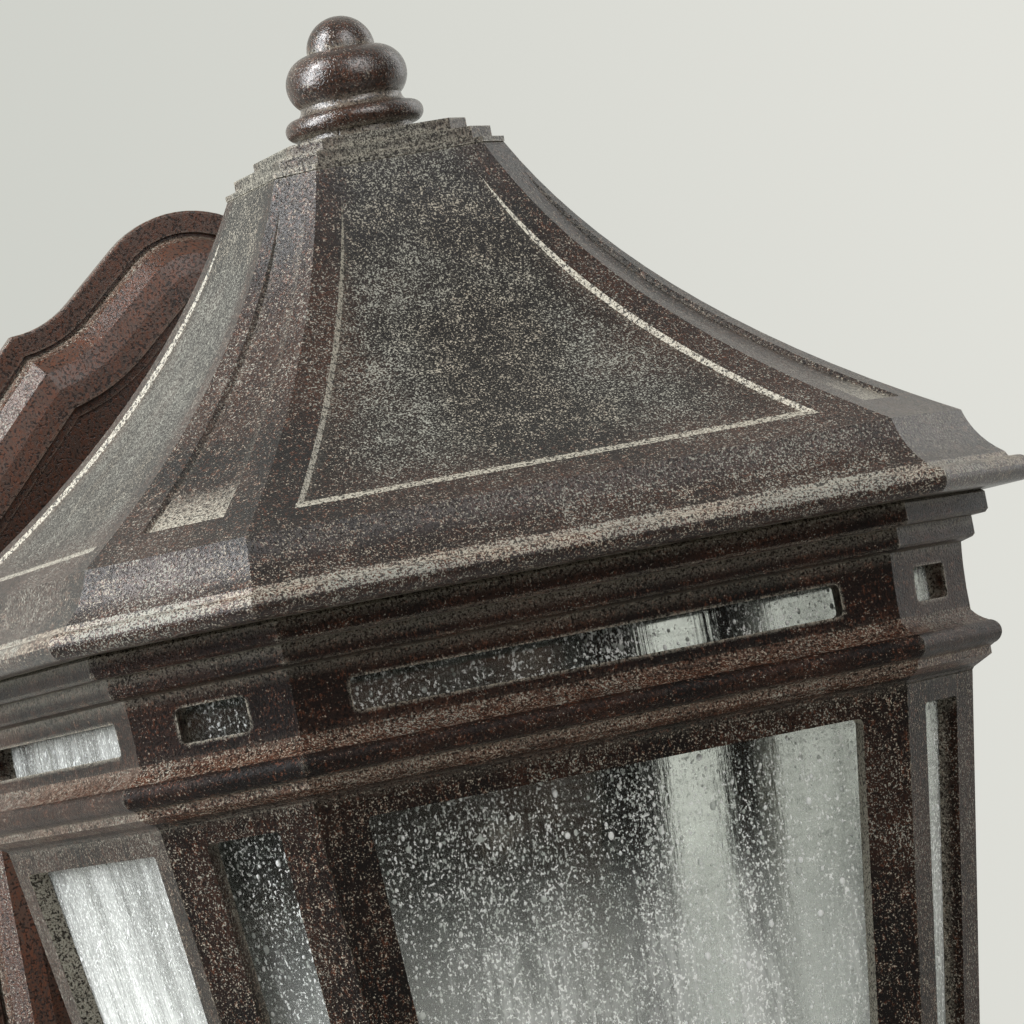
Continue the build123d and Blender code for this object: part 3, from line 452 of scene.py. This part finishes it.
patina = patina_group()
drawn = drawn_glass_group()
roof_bronze = rubbed_bronze("roof_bronze", patina, 0.40, 0.56, cream=0.8, shine=0.32, edge=0.9, polish=1.2,
                            walls=(0.020, 0.105), relief=0.4, bands=((0.0005, 0.0045),), on_roof=True)
frieze_bronze = rubbed_bronze("frieze_bronze", patina, 0.30, 0.54, cream=0.5, shine=0.08, edge=1.0, drag=1.0,
                              bands=((-0.0350, -0.0306), (-0.0445, -0.0408)))
window_bronze = rubbed_bronze("window_bronze", patina, 0.43, 0.54, cream=0.5, shine=0.08,
                              walls=(-0.265, -0.050))
# The plate carries a painted shadow of the lantern in its lower middle.
plate_bronze = rubbed_bronze("plate_bronze", patina, 0.42, 0.72, cream=0.3, shine=0.3, edge=0.2, polish=1.3,
                             brown=(0.072, 0.043, 0.032, 1), relief=0.3, painted_plate_shadow=True)
arm_bronze = rubbed_bronze("arm_bronze", patina, 0.40, 0.62, cream=0.3, shine=0.3, edge=0.3, polish=1.2,
                           relief=0.3, sheltered=False)
knob_bronze = rubbed_bronze("knob_bronze", patina, 0.36, 0.60, cream=0.5, shine=0.8, edge=0.2, drag=0.6,
                            polish=1.8, brown=(0.055, 0.028, 0.018, 1), relief=0.3)
pane_glass = clear_glass("seeded_pane_glass", drawn, 0.8, 0.35)
lamp_glass = clear_glass("lamp_glass", drawn, 0.0, 0.02)
plated_steel = worked_surface("plated_steel", (0.62, 0.61, 0.57, 1), (0.40, 0.39, 0.36, 1), 900,
                              (1, 1, 0.2), (0.28, 0.42), 1.0, 0.0002)
rolled_brass = worked_surface("rolled_brass", (0.72, 0.52, 0.24, 1), (0.48, 0.32, 0.13, 1), 700,
                              (1, 1, 3), (0.22, 0.38), 1.0, 0.0002)
ivory_wax = worked_surface("ivory_candle", (0.80, 0.74, 0.60, 1), (0.66, 0.58, 0.43, 1), 160,
                           (1, 1, 0.3), (0.42, 0.55), 0.0, 0.0004)
black_moulding = worked_surface("black_moulding", (0.030, 0.030, 0.030, 1), (0.012, 0.012, 0.012, 1), 800,
                                (1, 1, 1), (0.45, 0.60), 0.0, 0.0002)
stem_wire = worked_surface("stem_and_wire", (0.60, 0.56, 0.50, 1), (0.35, 0.32, 0.28, 1), 600,
                           (1, 1, 0.4), (0.25, 0.40), 0.7, 0.0002)

dress(nodes, window_bronze)
dress(["frieze_frame"], frieze_bronze)
dress(["roof", "base_dish", "base_tray"], roof_bronze)
dress(["backplate"], plate_bronze)
dress(["arm", "arm_flange", "cap_nuts"], arm_bronze)
dress(["finial", "drop_knob", "arm_hub"], knob_bronze)
panes = [name for name in nodes if "pane" in name and "panel" not in name]
dress(panes, pane_glass)
dress(named("bulb_glass"), lamp_glass)
dress(named("bulb_cap"), rolled_brass)
dress(named("filament"), stem_wire)
dress(named("candle_sleeve"), ivory_wax)
dress(named("lampholder"), black_moulding)
dress(["mounting_strap", "plate_studs", "ground_screw", "roof_bridge", "roof_stud", "stud_nuts",
       "bridge_screws", "arm_screws", "lamp_screws", "lamp_bracket", "nipple", "nipple_nuts"], plated_steel)


# Seeds: air bubbles drawn out in the glass, scattered over every pane. Each pane has its own piece, because
# one piece for all would pass the limit of triangles.

def seed_tree(painted_glint_seed_glass):
    """Fine seeds and a few larger bubbles, drawn out upright, on both faces of a pane."""
    tree = bpy.data.node_groups.new("glass_seeds", "GeometryNodeTree")
    face = tree.interface
    face.new_socket("Geometry", in_out="INPUT", socket_type="NodeSocketGeometry")
    for label, value in (("Seeds per m2", 64000.0), ("Seed Smallest", 0.00016), ("Seed Largest", 0.00055),
                         ("Bubbles per m2", 4200.0), ("Bubble Smallest", 0.00035),
                         ("Bubble Largest", 0.00095)):
        face.new_socket(label, in_out="INPUT", socket_type="NodeSocketFloat").default_value = value
    face.new_socket("Scatter", in_out="INPUT", socket_type="NodeSocketInt").default_value = 1
    face.new_socket("Geometry", in_out="OUTPUT", socket_type="NodeSocketGeometry")
    g = Graph(tree)
    use = g.add("NodeGroupInput").outputs
    fine = g.add("GeometryNodeMeshIcoSphere", {"Radius": 1.0, "Subdivisions": 1}).outputs[0]
    round_one = g.add("GeometryNodeMeshUVSphere", {"Segments": 8, "Rings": 6, "Radius": 1.0}).outputs[0]
    both = g.add("GeometryNodeJoinGeometry")
    for label, ball, turn in (("Bubble", round_one, 40), ("Seed", fine, 0)):
        number = g.math("ADD", use["Scatter"], float(turn))
        points = g.add("GeometryNodeDistributePointsOnFaces",
                       {"Mesh": use["Geometry"], "Density": use[label + "s per m2"], "Seed": number})
        chance = g.add("FunctionNodeRandomValue", {"Seed": 7 + turn}, data_type="FLOAT").outputs[1]
        span = g.math("SUBTRACT", use[label + " Largest"], use[label + " Smallest"])
        size = g.math("MULTIPLY_ADD", g.math("POWER", chance, 2.6), span, use[label + " Smallest"])
        drawn_out = g.add("FunctionNodeRandomValue", {"Seed": 11 + turn}, data_type="FLOAT")
        drawn_out.inputs[2].default_value, drawn_out.inputs[3].default_value = 1.0, 1.6
        tall = g.math("MULTIPLY", size, drawn_out.outputs[1])
        flat = g.math("MULTIPLY", size, 0.5)
        scale = g.add("ShaderNodeCombineXYZ", {"X": size, "Y": tall, "Z": flat}).outputs[0]
        facing = g.add("FunctionNodeAlignEulerToVector", {"Vector": points.outputs["Normal"]}, axis="Z")
        upright = g.add("FunctionNodeAlignEulerToVector",
                        {"Rotation": facing.outputs[0], "Vector": (0, 0, 1)}, axis="Y", pivot_axis="Z")
        copies = g.add("GeometryNodeInstanceOnPoints", {"Points": points.outputs["Points"], "Instance": ball,
                                                        "Rotation": upright.outputs[0], "Scale": scale})
        tree.links.new(copies.outputs[0], both.inputs[0])
    real = g.add("GeometryNodeRealizeInstances", {"Geometry": both.outputs[0]})
    smooth = g.add("GeometryNodeSetShadeSmooth", {0: real.outputs[0]})
    skin = g.add("GeometryNodeSetMaterial", {"Geometry": smooth.outputs[0], "Material": painted_glint_seed_glass})
    put = g.add("NodeGroupOutput")
    tree.links.new(skin.outputs[0], put.inputs[0])
    return tree


def scatter_seeds(tree, pane, label, number):
    """Seeds on one pane as a plain mesh that rides with the lantern."""
    sheet = nodes[pane].data.copy()
    work = bmesh.new()
    work.from_mesh(sheet)
    bmesh.ops.remove_doubles(work, verts=work.verts, dist=MERGE_DISTANCE)
    work.to_mesh(sheet)
    work.free()
    carrier = bpy.data.objects.new(label + "_carrier", sheet)
    bpy.context.scene.collection.objects.link(carrier)
    change = carrier.modifiers.new("seeds", "NODES")
    change.node_group = tree
    keys = {item.name: item.identifier for item in tree.interface.items_tree if item.in_out == "INPUT"}
    change[keys["Scatter"]] = number
    view = bpy.context.evaluated_depsgraph_get()
    mesh = bpy.data.meshes.new_from_object(carrier.evaluated_get(view))
    bpy.data.objects.remove(carrier)
    piece = bpy.data.objects.new(label, mesh)
    bpy.context.scene.collection.objects.link(piece)
    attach(piece, "lantern")


def seed_skin():
    """Skin of a seed, near white with a little light through it: the whiteness is a painted highlight for the
    glints of clear air bubbles.
    """
    material, g = blank_material("painted_glint_seed_glass")
    place = g.add("ShaderNodeTexCoord").outputs["Object"]
    # Near-white colour: a painted highlight standing in for the glints of clear bubbles, with a little milky
    # variation.
    milk = g.ramp(g.noise(place, 900, 2, 0.5), 0.35, 0.65)
    colour = g.mix(milk, (0.90, 0.92, 0.89, 1), (0.98, 0.99, 0.97, 1))
    skin = g.add("ShaderNodeBsdfPrincipled", {"Base Color": colour,
                                              "Metallic": 0.0, "Roughness": g.ramp(milk, 0, 1, 0.30, 0.50),
                                              "IOR": 1.5, "Transmission Weight": 0.25})
    close_material(g, skin.outputs[0])
    return material


seeds = seed_tree(seed_skin())
for number, pane in enumerate(sorted(panes)):
    scatter_seeds(seeds, pane, pane + "_seeds", number + 3)


def pale_floor():
    """Plain round floor below the lantern, which catches its shadow."""
    material, g = blank_material("pale_floor")
    place = g.add("ShaderNodeTexCoord").outputs["Object"]
    cloud = g.ramp(g.noise(place, 3, 3, 0.5), 0.3, 0.7)
    colour = g.mix(cloud, (0.55, 0.55, 0.525, 1), (0.60, 0.60, 0.575, 1))
    skin = g.add("ShaderNodeBsdfPrincipled", {"Base Color": colour, "Roughness": 0.9})
    close_material(g, skin.outputs[0])
    mesh = bpy.data.meshes.new("floor")
    low = cad_box[0][2] - FLOOR_DROP
    angles = [math.tau * step / FLOOR_SIDES for step in range(FLOOR_SIDES)]
    rim = [(FLOOR_RADIUS * math.cos(a), AXIS.y + FLOOR_RADIUS * math.sin(a), low) for a in angles]
    mesh.from_pydata(rim, [], [tuple(range(FLOOR_SIDES))])
    mesh.materials.append(material)
    floor = bpy.data.objects.new("floor", mesh)
    bpy.context.scene.collection.objects.link(floor)


pale_floor()
studio_world()
studio_light()
photo_camera()
bpy.context.scene.view_settings.view_transform = "Standard"
